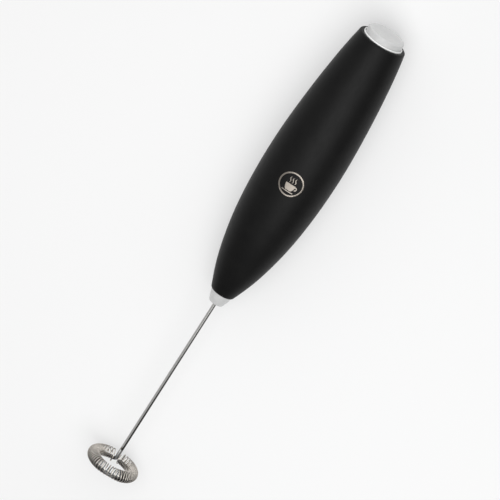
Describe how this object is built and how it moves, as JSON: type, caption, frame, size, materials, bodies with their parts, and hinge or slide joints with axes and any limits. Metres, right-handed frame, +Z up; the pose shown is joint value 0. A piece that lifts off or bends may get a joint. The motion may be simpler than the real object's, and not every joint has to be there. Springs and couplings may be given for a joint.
{
  "type": "milk frother",
  "caption": "Hand-held battery milk frother with a barrel handle, a press button on one end and a spinning wire ring whisk on the other, lying on its back.",
  "frame": {"origin": "middle of the small flat on the back of the handle that the frother lies on, under the widest point of the barrel", "axes": "+X along the handle towards the whisk, +Z up through the front of the handle, +Y to the left when looking along +X"},
  "size_m": [0.2363, 0.0336, 0.0329],
  "materials": {
    "black_plastic": "fine moulded satin",
    "badge_ink": "satin metallic ink",
    "button_plastic": "satin translucent",
    "bezel_plastic": "glossy",
    "nose_plastic": "satin",
    "bronze": "sintered",
    "stainless": "drawn wire",
    "coil_steel": "drawn fine wire",
    "brass": "turned",
    "chassis_plastic": "moulded",
    "screw_steel": "zinc plated",
    "cell_can": "printed sleeve",
    "spring_steel": "nickel plated",
    "contact_metal": "nickel plated strip",
    "switch_plastic": "moulded",
    "plunger_plastic": "moulded",
    "motor_steel": "drawn and plated",
    "end_cap_plastic": "moulded",
    "ferrite": "sintered",
    "copper": "enamelled",
    "shaft_steel": "ground",
    "lamination_steel": "stamped",
    "black_rubber": "soft",
    "capacitor_epoxy": "dipped",
    "red_insulation": "smooth",
    "black_insulation": "smooth",
    "grey_insulation": "smooth"
  },
  "bodies": {
    "handle": {"front_housing": "black_plastic", "motor_cover": "black_plastic", "emblem_badge": "badge_ink", "button_bezel": "bezel_plastic", "button_spring": "spring_steel", "nose_cone": "nose_plastic", "stem_bush": "bronze", "chassis": "chassis_plastic", "chassis_screws": "screw_steel", "cover_screw": "screw_steel", "battery_cell_1": "cell_can", "battery_cell_2": "cell_can", "battery_spring_1": "spring_steel", "battery_spring_2": "spring_steel", "contact_positive": "contact_metal", "contact_negative": "contact_metal", "contact_bridge": "contact_metal", "switch_body": "switch_plastic", "switch_terminals": "contact_metal", "motor_can": "motor_steel", "motor_end_cap": "end_cap_plastic", "motor_magnets": "ferrite", "motor_bushes": "bronze", "motor_brushes": "copper", "motor_terminals": "contact_metal", "motor_damper": "black_rubber", "suppressor_capacitor": "capacitor_epoxy", "wire_red": "red_insulation", "wire_black": "black_insulation", "wire_switch": "grey_insulation"},
    "whisk": {"motor_shaft": "shaft_steel", "armature_core": "lamination_steel", "armature_windings": "copper", "commutator": "copper", "coupling_sleeve": "brass", "whisk_stem": "stainless", "whisk_coil": "coil_steel"},
    "button": {"push_button": "button_plastic", "switch_plunger": "plunger_plastic"},
    "cover": {"battery_cover": "black_plastic"}
  },
  "joints": [
    {"name": "whisk_spin", "type": "hinge", "parent": "handle", "child": "whisk", "pos_m": [0, 0, 0.01604], "axis": [1, 0, 0], "continuous": true},
    {"name": "button_press", "type": "slide", "parent": "handle", "child": "button", "axis": [1, 0, 0], "range_m": [0, 0.0016], "stiffness_N_per_m": 800, "springref_m": -0.001, "deforming": ["button_spring"]},
    {"name": "battery_cover_hinge", "type": "hinge", "parent": "handle", "child": "cover", "pos_m": [0.0301, 0, 0.00074], "axis": [0, -1, 0], "range_deg": [0, 75]}
  ]
}
